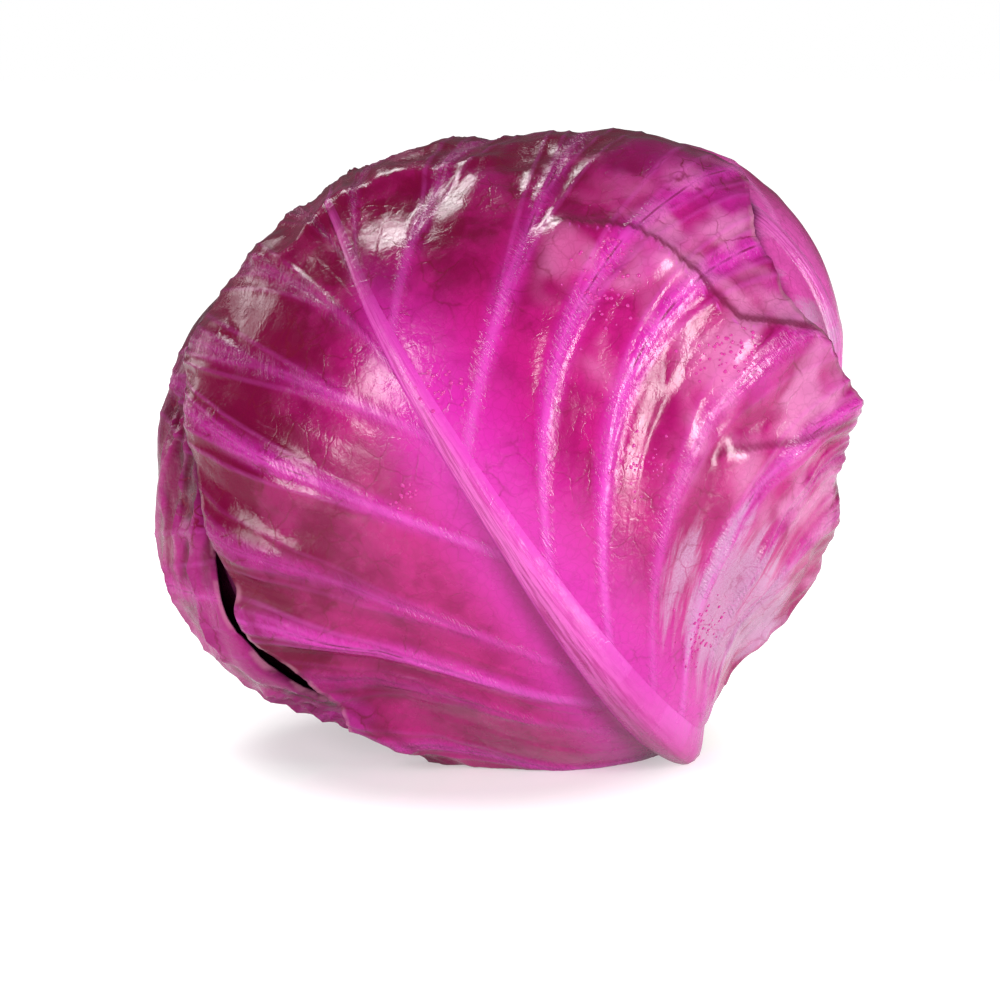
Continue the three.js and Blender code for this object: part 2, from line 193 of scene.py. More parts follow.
def makeLeaf(name, turnDegrees, wave, seed, halfWidths=(88, 88), baseLobes=(52, 52), **drawn):
    phi = math.radians(turnDegrees)
    centre = math.radians(head["leafCentre"])
    meridian = toFront * math.cos(phi) + toSide * math.sin(phi)
    leaf = {"name": name, "wave": wave, "folds": drawn.get("folds", ()), "seed": seed}
    leaf["across"] = -toFront * math.sin(phi) + toSide * math.cos(phi)
    leaf["normal"] = toStalk * math.cos(centre) + meridian * math.sin(centre)
    leaf["up"] = -toStalk * math.sin(centre) + meridian * math.cos(centre)
    leaf["veins"] = drawn.get("veins") or {
        "left": regularVeins(halfWidths[0], -1, baseLobes[0]),
        "right": regularVeins(halfWidths[1], 1, baseLobes[1]),
    }
    leaf["intervals"] = len(leaf["veins"]["left"]) - 1
    evenStrength = dict.fromkeys(("left", "right"), [0.7] * (leaf["intervals"] + 1))
    leaf["strength"] = drawn.get("strength", evenStrength)
    random = seededRandom(seed)
    leaf["crests"] = {}
    for side in ("left", "right"):
        leaf["crests"][side] = np.array([0.2 + 0.8 * next(random) for _ in leaf["veins"]["left"]])
    leaf["outline"] = outlineOf(leaf)
    return leaf


sideNames = {-1: "left", 1: "right"}


# Flat place at a row between the veins and a share of the way from the rib to the edge
def flatPoint(leaf, row, side, share):
    start, bendX, bendY, endX, endY = splineAt(leaf["veins"][sideNames[side]], row).T
    startX = side * np.interp(start, rib["y"], rib["halfWidth"])
    u = 1 - share
    x = u * u * startX + 2 * u * share * bendX + share * share * endX
    y = u * u * start + 2 * u * share * bendY + share * share * endY
    return x, y


outlineSteps = 180


def outlineOf(leaf):
    xs, ys = [], []
    rows = np.linspace(0, leaf["intervals"], leaf["intervals"] * 6 + 1)
    for side in (-1, 1):
        x, y = flatPoint(leaf, rows, side, np.ones_like(rows))
        xs.append(x)
        ys.append(y)
        for end in (0.0, float(leaf["intervals"])):
            shares = np.arange(8) / 8
            x, y = flatPoint(leaf, np.full(8, end), side, shares)
            xs.append(x)
            ys.append(y)
    x, y = np.concatenate(xs), np.concatenate(ys)
    angles, reach = np.arctan2(y, x), np.hypot(x, y)
    order = np.argsort(angles, kind="stable")
    angles, reach = angles[order], reach[order]
    angles = np.concatenate([[angles[-1] - 2 * math.pi], angles, [angles[0] + 2 * math.pi]])
    reach = np.concatenate([[reach[-1]], reach, [reach[0]]])
    return np.interp(np.arange(outlineSteps) / outlineSteps * 2 * math.pi - math.pi, angles, reach)


def outlineAt(leaf, x, y):
    place = (np.arctan2(y, x) + math.pi) / (2 * math.pi) * outlineSteps
    i = whole(place)
    t = place - i
    return leaf["outline"][i % outlineSteps] * (1 - t) + leaf["outline"][(i + 1) % outlineSteps] * t


def wrap(leaf, x, y):
    distance = np.maximum(np.hypot(x, y), 1e-9)
    angle = distance / head["wrapRadius"]
    return (
        np.outer(np.cos(angle), leaf["normal"])
        + np.outer(np.sin(angle) * x / distance, leaf["across"])
        + np.outer(np.sin(angle) * y / distance, leaf["up"])
    )


def unwrap(leaf, direction):
    x, y = direction @ leaf["across"], direction @ leaf["up"]
    angle = np.arccos(np.clip(direction @ leaf["normal"], -1, 1))
    scale = head["wrapRadius"] * angle / np.maximum(np.hypot(x, y), 1e-9)
    return x * scale, y * scale


def cover(leaf, direction, distance, margin=2.0):
    x, y = unwrap(leaf, direction)
    return 1 - smoothstep(np.hypot(x, y) - outlineAt(leaf, x, y) - margin, 0, distance)


def bedRadius(rank, direction):
    radius = headRadius(direction) - head["layersDepth"]
    for lower in leaves[rank + 1 :]:
        x, y = unwrap(lower, direction)
        bump = 1.1 * rib["coveredShare"] * np.interp(y, rib["y"], rib["height"])
        bump = bump * bell(x, rib["clearance"])
        radius = radius + cover(lower, direction, head["drape"]) * (head["layerPitch"] + bump)
    return radius


def exposure(rank, direction):
    share = np.ones(len(direction))
    for upper in leaves[:rank]:
        share = share * (1 - cover(upper, direction, head["tuck"], head["tuckMargin"]))
    return share


# How far a place lies outside the nearest leaf that covers it, below zero where it is covered
def coverGap(rank, direction):
    gap = np.full(len(direction), 99.0)
    for upper in leaves[:rank]:
        x, y = unwrap(upper, direction)
        gap = np.minimum(gap, np.hypot(x, y) - outlineAt(upper, x, y))
    return gap


# Points at a radius from the head's centre, pressed flat on the table where they would go below it
def placed(direction, radius, floor=0.0):
    underFront = cover(leaves[0], direction, head["spotStep"])
    outermost = bedRadius(1, direction) * (1 - underFront) + bedRadius(0, direction) * underFront
    isHigh = direction[:, 2] > -0.5
    down = np.where(isHigh, 1.0, -direction[:, 2])
    spotShare = head["centre"][2] / down / (outermost + head["blade"])
    pressed = np.where(isHigh, 1.0, np.minimum(1, spotShare))
    points = direction * (radius * pressed)[:, None] + head["centre"]
    points[:, 2] = np.maximum(points[:, 2], floor)
    return points


# Smooth seeded noise in flat leaf coordinates: a lattice of random values, blended between its points
def flatNoise(x, y, size, seed):
    lattice = np.random.default_rng(seed).uniform(-1, 1, (64, 64))
    u, v = x / size, y / size
    i, j = whole(u), whole(v)
    s, t = u - i, v - j
    s, t = s * s * (3 - 2 * s), t * t * (3 - 2 * t)
    low = lattice[i % 64, j % 64] * (1 - s) + lattice[(i + 1) % 64, j % 64] * s
    high = lattice[i % 64, (j + 1) % 64] * (1 - s) + lattice[(i + 1) % 64, (j + 1) % 64] * s
    return low * (1 - t) + high * t


# Distance to a line, how far past its ends, and on which side
def lineDistance(line, x, y):
    best = np.full(x.shape, 1e9)
    beyondBest = np.zeros(x.shape)
    acrossBest = np.zeros(x.shape)
    for (ax, ay), (bx, by) in zip(line[:-1], line[1:]):
        dx, dy = bx - ax, by - ay
        place = ((x - ax) * dx + (y - ay) * dy) / (dx * dx + dy * dy)
        held = np.clip(place, 0, 1)
        distance = np.hypot(x - ax - held * dx, y - ay - held * dy)
        nearer = distance < best
        best = np.where(nearer, distance, best)
        beyondBest = np.where(nearer, np.abs(place - held) * math.hypot(dx, dy), beyondBest)
        acrossBest = np.where(nearer, (y - ay) * dx - (x - ax) * dy, acrossBest)
    return best, beyondBest, acrossBest


# Lift of the folds, and a mask for painting: 1 along a fold's lip, for a painted highlight, going to -1 in
# the shade beside it, for painted shade
def foldLift(leaf, x, y):
    lift = np.zeros(x.shape)
    lip = np.zeros(x.shape)
    for height, left, right, line in leaf["folds"]:
        distance, beyond, across = lineDistance(line, x, y)
        fall = distance / np.where(across > 0, left, right)
        shown = 1 - smoothstep(beyond, 0, 14)
        lift += height * np.exp(-(fall**1.4)) * shown
        steepSide = across * (left - right) < 0
        shade = bell(distance - 2.4, 1.9) * steepSide
        lip += (bell(distance, 0.8) - shade) * shown * height / 3.51
    return lift, lip


# Flat facets, as on crumpled foil: random heights on a lattice that follows the veins
def facets(row, share, x, y, seed, acrossVein, outwards):
    heights = np.random.default_rng(seed).uniform(-1, 1, (96, 96))
    flips = np.random.default_rng(seed + 1).uniform(-1, 1, (96, 96)) > 0
    warpRow = 0.3 * flatNoise(x + 500, y + 500, 19, seed + 2)
    warpShare = 0.4 * flatNoise(x + 500, y + 500, 19, seed + 3)
    total = np.zeros(x.shape)
    # four shifted samples round the creases off
    offsets = ((0, 0), (0.08, 0.05), (-0.08, 0.05), (0, -0.09))
    for alongRow, alongShare in offsets:
        u = row * acrossVein + warpRow + alongRow + 2
        v = share * outwards + warpShare + alongShare + 2
        i, j = whole(u), whole(v)
        s, t = u - i, v - j
        # each square is two triangles, split along one diagonal or the other
        flip = flips[i, j]
        s = np.where(flip, 1 - s, s)
        low = np.where(flip, heights[i + 1, j], heights[i, j])
        lowNext = np.where(flip, heights[i, j], heights[i + 1, j])
        high = np.where(flip, heights[i + 1, j + 1], heights[i, j + 1])
        highNext = np.where(flip, heights[i, j + 1], heights[i + 1, j + 1])
        near = low + s * (lowNext - low) + t * (high - low)
        far = highNext + (1 - s) * (high - highNext) + (1 - t) * (lowNext - highNext)
        total += np.where(s + t < 1, near, far)
    return total / len(offsets)


relief = {
    "edgeDraw": 0.02,
    "crownCalm": 0.55,
    "veinRidge": 0.75,
    "veinHalfWidth": 2.6,
    "veinCrease": 0.4,
    "creaseHalfWidth": 0.7,
    "forks": ((0.28, 0.36), (0.28, 0.64), (0.6, 0.2), (0.6, 0.8)),
    "forkRidge": 0.35,
    "forkHalfWidth": 1.1,
    "pillow": 0.9,
    "pillowReach": 6.0,
    "pillowShare": 0.6,
    "fineCrumple": 0.3,
    "wrinkle": 0.35,
    "deepest": -0.9,
    "skirt": 0.4,
    "skirtReach": 9.0,
    "edgeThinning": 0.45,
}
leaves = []
frontDrawing = {"veins": frontVeins, "strength": frontVeinStrength, "folds": frontFolds}
leaves.append(makeLeaf("front_leaf", -4, (4.2, 4.6), 3, **frontDrawing))
leaves.append(makeLeaf("left_leaf", -134, (2.8, 2.4), 7, (96, 116), (56, 76)))
leaves.append(makeLeaf("right_leaf", 74, (2.6, 2.8), 11, (100, 92), (60, 56)))
leaves.append(makeLeaf("back_leaf", 168, (2.4, 2.4), 19))
leaves.append(makeLeaf("under_leaf", -57, (2.4, 2.4), 23))


# Distances to the nearest side vein and to its forks, and how strong that vein is
def veinDistances(leaf, row, share, side, isRib):
    intervals = leaf["intervals"]
    i = np.minimum(whole(row), intervals - 1)
    phase = row - i
    strength = np.array(leaf["strength"][sideNames[side]], float)[i + (phase > 0.5)]
    forkGap = np.full_like(row, 99.0)
    if isRib:
        return i, phase, np.zeros_like(row), forkGap, strength
    nearX, nearY = flatPoint(leaf, np.minimum(row + 0.5, intervals), side, share)
    farX, farY = flatPoint(leaf, np.maximum(row - 0.5, 0), side, share)
    spacing = np.hypot(nearX - farX, nearY - farY)
    veinGap = np.minimum(phase, 1 - phase) * spacing
    for start, spread in relief["forks"]:
        grown = np.clip((share - start) / (1 - start), 0, 1)
        foot = 0.0 if spread < 0.5 else 1.0
        at = foot + (spread - foot) * grown**0.8
        forkGap = np.minimum(forkGap, np.abs(phase - at) * spacing + 40 * (share < start))
    return i, phase, veinGap, forkGap, strength


# One strip of a leaf, which is its left half, its rib or its right half
def leafStrip(leaf, piece, rows, values, side, isRib):
    rowGrid, valueGrid = np.meshgrid(rows, values, indexing="ij")
    row, value = rowGrid.ravel(), valueGrid.ravel()
    margin = np.zeros_like(value) if isRib else value
    # the edge is drawn in unevenly, most in the places named for the piece
    draw = 1 + flatNoise(row * 6 + 300, row * 0 + 40.0, 2.3, leaf["seed"] + side)
    draw = relief["edgeDraw"] * draw
    for place, reach, depth in piece["notches"].get(side, ()):
        draw = draw + depth * bell(row - place, reach)
    share = margin * (1 - draw * margin)
    x, y = flatPoint(leaf, row, side, share)
    ribShare = np.full_like(value, float(side))
    if isRib:
        x, ribShare = np.abs(x) * value, value
    i, phase, veinGap, forkGap, strength = veinDistances(leaf, row, share, side, isRib)

    # waves that crest on the veins and grow to the edge, calmer on the crown
    half = 0 if side < 0 else 1
    crests = leaf["crests"][sideNames[side]]
    crest = crests[i] + (crests[i + 1] - crests[i]) * smoothstep(phase, 0, 1)
    crest = crest * (0.5 + 0.5 * np.cos(2 * math.pi * phase))
    calm = 1 - relief["crownCalm"] * smoothstep(row / leaf["intervals"], 0.5, 0.8)
    wave = leaf["wave"][half] * crest * calm * share ** (2.2, 1.5)[half]

    # veins with a fine crease, their forks, full pillows between them, and crumple
    width = relief["veinHalfWidth"] * (1.25 - 0.75 * share)
    ridge = relief["veinRidge"] * strength * bell(veinGap, width) * np.minimum(1, 5 * share)
    crease = bell(veinGap, relief["creaseHalfWidth"]) * smoothstep(share, 0.2, 0.5)
    ridge -= relief["veinCrease"] * crease
    ridge += relief["forkRidge"] * bell(forkGap, relief["forkHalfWidth"])
    pillow = relief["pillow"] * strength * (1 - bell(veinGap, relief["pillowReach"]))
    pillow = pillow * np.minimum(1, 4 * share)
    seed = leaf["seed"] * 10 + side
    crumple = facets(row, share, x, y, seed, 2, 5)
    crumple += relief["fineCrumple"] * facets(row, share, x, y, seed + 4, 4, 12)
    crumple = piece["crumple"][half] * (1.2 + crumple) * smoothstep(share, 0.05, 0.75)
    strip = {"x": x, "y": y, "row": row + 20 * side, "share": share, "margin": margin, "ribShare": ribShare}
    strip.update({"veinGap": veinGap, "forkGap": forkGap, "strength": strength})
    strip.update({"wave": wave, "ridge": ridge, "pillow": pillow, "crumple": crumple})
    return {key: values.reshape(rowGrid.shape) for key, values in strip.items()}


# The rib is sharp on its left and runs out softly on its right
def ribLift(x, y, ribShare, rank):
    right = ribShare > 0
    rounded = np.sqrt(1 - (1 - np.clip((y - head["heelY"]) / rib["heelRounding"], 0, 1)) ** 2)
    beyond = np.maximum(np.abs(x) - np.interp(y, rib["y"], rib["halfWidth"]), 0)
    skirt = bell(beyond, relief["skirtReach"]) * right
    skirt = relief["skirt"] * np.where(np.abs(ribShare) < 1, smoothstep(ribShare, -0.5, 1), skirt)
    across = np.clip(1 - ribShare**2, 0, 1) ** np.where(right, 1.4, 1.1)
    across = np.maximum(across * (1 - skirt) + skirt, 0)
    return np.interp(y, rib["y"], rib["height"]) * across * rounded * (rib["coveredShare"] if rank else 1)


# A leaf as a closed sheet, with what its skin reads: flat place and distances in millimetres, and shares
def leafArrays(leaf, rank, piece):
    intervals = leaf["intervals"]
    rows = np.linspace(0, intervals, intervals * piece["rowsPerVein"] + 1)
    shares = np.linspace(0, 1, piece["columns"] + 1)
    ribShares = np.sin(np.linspace(-1, 1, piece["ribColumns"] + 2)[1:-1] * math.pi / 2)
    strips = [
        leafStrip(leaf, piece, rows, shares[::-1], -1, False),
        leafStrip(leaf, piece, rows, ribShares, 1, True),
        leafStrip(leaf, piece, rows, shares, 1, False),
    ]
    grid = {key: np.concatenate([strip[key] for strip in strips], axis=1) for key in strips[0]}
    flat = {key: values.ravel() for key, values in grid.items()}
    x, y, share, margin, ribShare = (flat[key] for key in ("x", "y", "share", "margin", "ribShare"))
    direction = wrap(leaf, x, y)
    shown = exposure(rank, direction)
    fold, lip = foldLift(leaf, x, y)
    # where the leaf above is drawn in, this one is bare inside the plain outline of that leaf
    gap = coverGap(rank, direction) + piece["bare"]
    free = smoothstep(gap, 0.5, 7)
    seed = leaf["seed"]
    wrinkle = flatNoise(x + 500, y + 500, 17, seed) + 0.5 * flatNoise(x + 500, y + 500, 7, seed + 1)
    wrinkle = relief["wrinkle"] * (1.2 + wrinkle * np.minimum(1, 3 * share))
    streaks = flatNoise((x + 500) * piece["streakX"], (y + 500) * piece["streakY"], 16, seed + 2)
    ruffle = piece["ruffle"] * (1 - np.abs(streaks)) ** 3 * smoothstep(share, 0.45, 0.9)
    for spotX, spotY, reach, height in piece["raised"]:
        ruffle += height * np.exp(-((x - spotX) ** 2 + (y - spotY) ** 2) / reach**2)
    sink = piece["sink"] * smoothstep(share, 0.1, 0.7)
    detail = np.maximum(flat["ridge"] + wrinkle + flat["crumple"] + ruffle - sink, relief["deepest"])
    lift = shown * (flat["wave"] + fold + flat["pillow"] * relief["pillowShare"]) + free * detail
    bed = bedRadius(rank, direction) + lift
    thickness = head["blade"] + (head["rim"] - head["blade"]) * margin**4
    thickness = thickness - relief["edgeThinning"] * smoothstep(margin, 0.9, 1)
    outer = placed(direction, bed + thickness + ribLift(x, y, ribShare, rank))
    inner = placed(direction, bed, head["rim"] * 0.5)
    attributes = {key: flat[key] for key in ("veinGap", "forkGap", "share", "margin", "strength")}
    attributes["flat"] = np.stack([x, y, np.zeros_like(x)], axis=1)
    attributes["flow"] = np.stack([flat["row"], share, np.zeros_like(x)], axis=1)
    attributes["ribSide"] = ribShare * np.where(np.abs(ribShare) < 1, 0.999, 1 + share)
    attributes["crease"] = flat["crumple"] / max(piece["crumple"]) + ruffle
    attributes["coverGap"] = gap
    attributes["lip"] = lip
    return outer, inner, grid["x"].shape, attributes


def smoothMesh(name, points, faces):
    mesh = bpy.data.meshes.new(name)
    mesh.from_pydata((points / 1000).tolist(), [], faces)
    mesh.shade_smooth()
    return mesh


def sheetMesh(name, outer, inner, shape, attributes):
    rows, columns = shape
    index = np.arange(rows * columns).reshape(shape)
    a, b, c, d = index[:-1, :-1], index[:-1, 1:], index[1:, 1:], index[1:, :-1]
    front = np.stack([a, b, c, d], axis=-1).reshape(-1, 4)
    back = np.stack([a, d, c, b], axis=-1).reshape(-1, 4) + rows * columns
    under = index + rows * columns
    edges = [
        np.stack([index[1:, 0], under[1:, 0], under[:-1, 0], index[:-1, 0]], axis=-1),
        np.stack([index[:-1, -1], under[:-1, -1], under[1:, -1], index[1:, -1]], axis=-1),
        np.stack([index[0, :-1], under[0, :-1], under[0, 1:], index[0, 1:]], axis=-1),
        np.stack([index[-1, 1:], under[-1, 1:], under[-1, :-1], index[-1, :-1]], axis=-1),
    ]
    faces = np.concatenate([front, back, *edges])
    mesh = smoothMesh(name, np.concatenate([outer, inner]), faces.tolist())
    for key, values in attributes.items():
        values = np.concatenate([values, values])
        kind = "FLOAT_VECTOR" if values.ndim == 2 else "FLOAT"
        layer = mesh.attributes.new(key, kind, "POINT")
        layer.data.foreach_set("vector" if values.ndim == 2 else "value", values.ravel().astype(np.float32))
    side = mesh.attributes.new("outside", "FLOAT", "POINT")
    side.data.foreach_set("value", np.repeat([1.0, 0.0], rows * columns).astype(np.float32))
    mesh.update()
    return mesh


def linked(name, data):
    made = bpy.data.objects.new(name, data)
    bpy.context.scene.collection.objects.link(made)
    return made


def addObject(name, mesh, material):
    mesh.materials.clear()
    mesh.materials.append(material)
    return linked(name, mesh)


# Short calls for building node trees, for skins and for the dew
class Graph:
    def __init__(self, tree):
        self.tree = tree

    def node(self, kind, **values):
        made = self.tree.nodes.new(kind)
        for key, value in values.items():
            setattr(made, key, value)
        return made

    def wire(self, source, target):
        if isinstance(source, bpy.types.NodeSocket):
            self.tree.links.new(source, target)
        else:
            target.default_value = source

    def wired(self, kind, *sources, **values):
        made = self.node(kind, **values)
        for slot, source in enumerate(sources):
            if source is not None:
                self.wire(source, made.inputs[slot])
        return made

    def math(self, operation, a, b=None, c=None, clamp=False):
        return self.wired("ShaderNodeMath", a, b, c, operation=operation, use_clamp=clamp).outputs[0]

    def vector(self, operation, a, b=None, c=None, output=0):
        return self.wired("ShaderNodeVectorMath", a, b, c, operation=operation).outputs[output]

    def times(self, product, *factors):
        for factor in factors:
            product = self.math("MULTIPLY", product, factor)
        return product

    def combined(self, x, y, z=0.0):
        return self.wired("ShaderNodeCombineXYZ", x, y, z).outputs[0]

    def attribute(self, name, output="Fac"):
        return self.node("ShaderNodeAttribute", attribute_name=name).outputs[output]

    def ramp(self, value, low, high, start=0.0, end=1.0):
        made = self.node("ShaderNodeMapRange", interpolation_type="SMOOTHSTEP")
        limits = {"Value": value, "From Min": low, "From Max": high, "To Min": start, "To Max": end}
        for key, number in limits.items():
            self.wire(number, made.inputs[key])
        return made.outputs["Result"]

    def mix(self, factor, a, b):
        made = self.node("ShaderNodeMix", data_type="RGBA")
        for slot, source in ((0, factor), (6, a), (7, b)):
            self.wire(source, made.inputs[slot])
        return made.outputs[2]

    def noise(self, vector, scale, detail=3.0, rough=0.5, output="Fac"):
        made = self.node("ShaderNodeTexNoise")
        for key, value in (("Vector", vector), ("Scale", scale), ("Detail", detail), ("Roughness", rough)):
            self.wire(value, made.inputs[key])
        return made.outputs[output]

    def cellEdges(self, vector, scale):
        made = self.node("ShaderNodeTexVoronoi", feature="DISTANCE_TO_EDGE")
        self.wire(vector, made.inputs["Vector"])
        self.wire(scale, made.inputs["Scale"])
        return made.outputs["Distance"]

    def bump(self, height, shader, distance, strength=1.0):
        made = self.node("ShaderNodeBump")
        for key, value in (("Strength", strength), ("Distance", distance), ("Height", height)):
            self.wire(value, made.inputs[key])
        self.wire(made.outputs[0], shader.inputs["Normal"])


# A material with its graph and its shader, whose inputs get the values given by name
def newSkin(name, values):
    material = bpy.data.materials.new(name)
    material.use_nodes = True
    shader = material.node_tree.nodes["Principled BSDF"]
    for key, value in values.items():
        shader.inputs[key].default_value = value
    return material, Graph(material.node_tree), shader


# Group: the leaf's fine network of veins, from its flat place in millimetres
def networkGroup():
    group = bpy.data.node_groups.new("leafNetwork", "ShaderNodeTree")
    group.interface.new_socket("Flat", in_out="INPUT", socket_type="NodeSocketVector")
    for name in ("Cell Scale", "Line Width", "Warp"):
        group.interface.new_socket(name, in_out="INPUT", socket_type="NodeSocketFloat")
    for name in ("Lines", "Fine Lines", "Mottle"):
        group.interface.new_socket(name, in_out="OUTPUT", socket_type="NodeSocketFloat")
    g = Graph(group)
    given = g.node("NodeGroupInput").outputs
    wobble = g.vector("SUBTRACT", g.noise(given["Flat"], 0.16, output="Color"), (0.5, 0.5, 0.5))
    scaled = g.node("ShaderNodeVectorMath", operation="SCALE")
    g.wire(wobble, scaled.inputs[0])
    g.wire(given["Warp"], scaled.inputs["Scale"])
    moved = g.vector("ADD", given["Flat"], scaled.outputs[0])
    lines = g.ramp(g.cellEdges(moved, given["Cell Scale"]), 0.0, given["Line Width"], 1.0, 0.0)
    shown = g.ramp(g.noise(given["Flat"], 0.07, 2.0), 0.42, 0.58)
    fine = g.cellEdges(moved, g.times(given["Cell Scale"], 3.1))
    result = g.node("NodeGroupOutput").inputs
    g.wire(g.times(lines, g.math("MULTIPLY_ADD", shown, 0.75, 0.25)), result["Lines"])
    g.wire(g.ramp(fine, 0.0, 0.09, 1.0, 0.0), result["Fine Lines"])
    g.wire(g.noise(moved, 0.055, 5.0, 0.6), result["Mottle"])
    return group


network = networkGroup()

leafLook = {
    "dark": (0.15, 0.001, 0.032, 1),
    "blade": (0.43, 0.006, 0.16, 1),
    "bright": (0.60, 0.022, 0.37, 1),
    "vein": (0.70, 0.085, 0.52, 1),
    "rib": (0.72, 0.12, 0.49, 1),
    "ribBase": (0.38, 0.012, 0.17, 1),
    "line": (0.15, 0.003, 0.025, 1),
    "bloom": (0.52, 0.29, 0.47, 1),
    "paintedSheen": (0.72, 0.24, 0.50, 1),
    "shade": (0.03, 0.001, 0.006, 1),
    # rim: the colour of the painted highlight along the leaf's edge
    "rim": (0.62, 0.26, 0.36, 1),
    "inside": (0.55, 0.17, 0.38, 1),
    "cutEnd": (0.26, 0.10, 0.045, 1),
    "darkFrom": 5.0,
    "darkTo": 75.0,
    "darkEdge": 0.5,
    "darkLeft": 0.0,
    "paintedHollowShade": 0.45,
    "edgeGlow": 0.0,
    "pale": 0.0,
    "bloomX": 42.0,
    "bloomY": -86.0,
    "bloomReach": 40.0,
    "bloomAmount": 0.8,
    "cutFrom": -133.0,
    "Cell Scale": 0.12,
    "Line Width": 0.05,
    "Warp": 5.0,
    "roughness": 0.21,
    "gloss": 0.5,
    "Coat Weight": 0.1,
    "Coat Roughness": 0.16,
    "bloomRoughness": 0.1,
    "IOR": 1.45,
    "bumpDepth": 0.0006,
    "bumpStrength": 0.6,
}


leafValues = ("veinGap", "forkGap", "ribSide", "share", "margin")
leafValues += ("strength", "crease", "coverGap", "lip", "outside")


# The leaf's attributes and its vein network as sockets, with lengths in flat millimetres
def leafReadings(g, look):
    at = SimpleNamespace(**{name: g.attribute(name) for name in leafValues})
    at.flat = g.attribute("flat", "Vector")
    at.flow = g.attribute("flow", "Vector")
    at.ribAway = g.math("ABSOLUTE", at.ribSide)
    parts = g.node("ShaderNodeSeparateXYZ")
    g.wire(at.flat, parts.inputs[0])
    at.x, at.up = parts.outputs["X"], parts.outputs["Y"]
    net = g.node("ShaderNodeGroup", node_tree=network)
    g.wire(at.flat, net.inputs["Flat"])
    for key in ("Cell Scale", "Line Width", "Warp"):
        net.inputs[key].default_value = look[key]
    for name, key in (("Lines", "lines"), ("Fine Lines", "fineLines"), ("Mottle", "mottle")):
        setattr(at, key, net.outputs[name])
    at.toTip = g.ramp(at.up, look["darkFrom"], look["darkTo"])
    at.grain = g.noise(at.flat, 1.9, 3.0, 0.7)
    at.broken = g.ramp(g.noise(at.flat, 0.11, 3.0), 0.42, 0.6)
    return at


# Blade: darker towards the tip, the edge and the left, with painted shade in its hollows; brighter near the
# veins and the base, with painted highlights on its crests and a painted sheen on its right half
def bladeTint(g, at, look):
    toEdge = g.times(g.ramp(at.margin, 0.7, 1.0), look["darkEdge"])
    toLeft = g.times(g.ramp(at.x, -55.0, -10.0, look["darkLeft"], 0.0), g.ramp(at.up, -60.0, 10.0))
    dark = g.math("ADD", g.times(at.toTip, 0.85), g.math("ADD", toEdge, toLeft))
    patches = g.ramp(at.mottle, 0.38, 0.62)
    at.dark = g.math("MULTIPLY_ADD", patches, 0.5, g.math("SUBTRACT", dark, 0.15), clamp=True)
    glow = g.times(g.ramp(at.veinGap, 0.5, 7.0, 0.85, 0.0), at.strength)
    nearRib = g.times(g.ramp(at.ribAway, 1.0, 1.3, 0.9, 0.0), g.ramp(at.up, 40.0, 90.0, 1.0, 0.0))
    glow = g.math("MAXIMUM", glow, nearRib)
    # painted highlight: brighter on the crests of the crumple
    glow = g.math("MAXIMUM", glow, g.ramp(at.crease, 1.3, 2.3, 0.0, 0.5))
    glow = g.times(glow, g.ramp(at.toTip, 0.0, 1.0, 1.0, 0.35))
    glow = g.math("MAXIMUM", glow, g.ramp(at.margin, 0.55, 0.95, 0.0, look["edgeGlow"]))
    tint = g.mix(at.dark, look["blade"], look["dark"])
    tint = g.mix(glow, tint, look["bright"])
    # painted shade: darker in the low places of the crumple, more so towards the edge
    outwards = g.ramp(at.share, 0.3, 0.7, 0.0, look["paintedHollowShade"])
    tint = g.mix(g.times(g.ramp(at.crease, 0.25, 0.9, 1.0, 0.0), outwards), tint, look["dark"])
    # painted highlight: a pale milky sheen in patches, on the raised places of the right half
    paintedSheen = g.ramp(g.noise(at.flat, 0.045, 2.0), 0.44, 0.6)
    paintedSheen = g.times(paintedSheen, g.ramp(at.x, 0.0, 35.0, 0.0, look["pale"]))
    paintedSheen = g.times(paintedSheen, g.ramp(at.share, 0.08, 0.4), g.ramp(at.crease, 0.5, 1.5))
    return g.mix(g.times(paintedSheen, g.ramp(at.up, 15.0, 60.0, 1.0, 0.0)), tint, look["paintedSheen"])


# Dark network lines, then the light veins with their cross wrinkles, whose pale dashes are a painted
# highlight, and painted shade in the crease along each vein
def veinTint(g, at, look, tint):
    darker = g.math("MULTIPLY_ADD", at.dark, 0.85, 0.05)
    tint = g.mix(g.times(at.lines, g.ramp(at.veinGap, 0.8, 3.0), darker), tint, look["line"])
    tint = g.mix(g.times(at.fineLines, 0.14), tint, look["line"])
    # the cross wrinkles beside the veins: raised by the bump and lightened with a painted highlight
    drift = g.noise(at.flat, 0.02, 0.0)
    along = g.combined(g.times(at.share, 90.0), g.times(at.veinGap, 0.22), drift)
    dashes = g.ramp(g.noise(along, 0.9, 3.0, 0.7), 0.45, 0.62)
    at.dashes = g.times(g.ramp(at.veinGap, 1.0, 5.5, 0.55, 0.0), dashes)
    vein = g.ramp(at.veinGap, 0.2, g.ramp(at.share, 0.0, 1.0, 3.0, 1.3), 1.0, 0.0)
    vein = g.math("MAXIMUM", vein, g.times(at.dashes, g.ramp(at.share, 0.3, 0.6)))
    vein = g.times(vein, g.ramp(at.share, 0.1, 1.0, 0.6, 0.4), g.ramp(at.toTip, 0.0, 1.0, 1.0, 0.45))
    branch = g.times(g.ramp(at.forkGap, 0.1, 1.3, 1.0, 0.0), at.strength, 0.22)
    tint = g.mix(g.math("MAXIMUM", g.times(vein, at.strength), branch), tint, look["vein"])
    # painted shade in the crease along the middle of each vein, where the relief also dips
    crease = g.times(g.ramp(at.veinGap, 0.12, 0.55, 1.0, 0.0), g.ramp(at.share, 0.3, 0.6, 0.0, 0.75))
    return g.mix(g.times(crease, at.strength, at.broken), tint, look["line"])
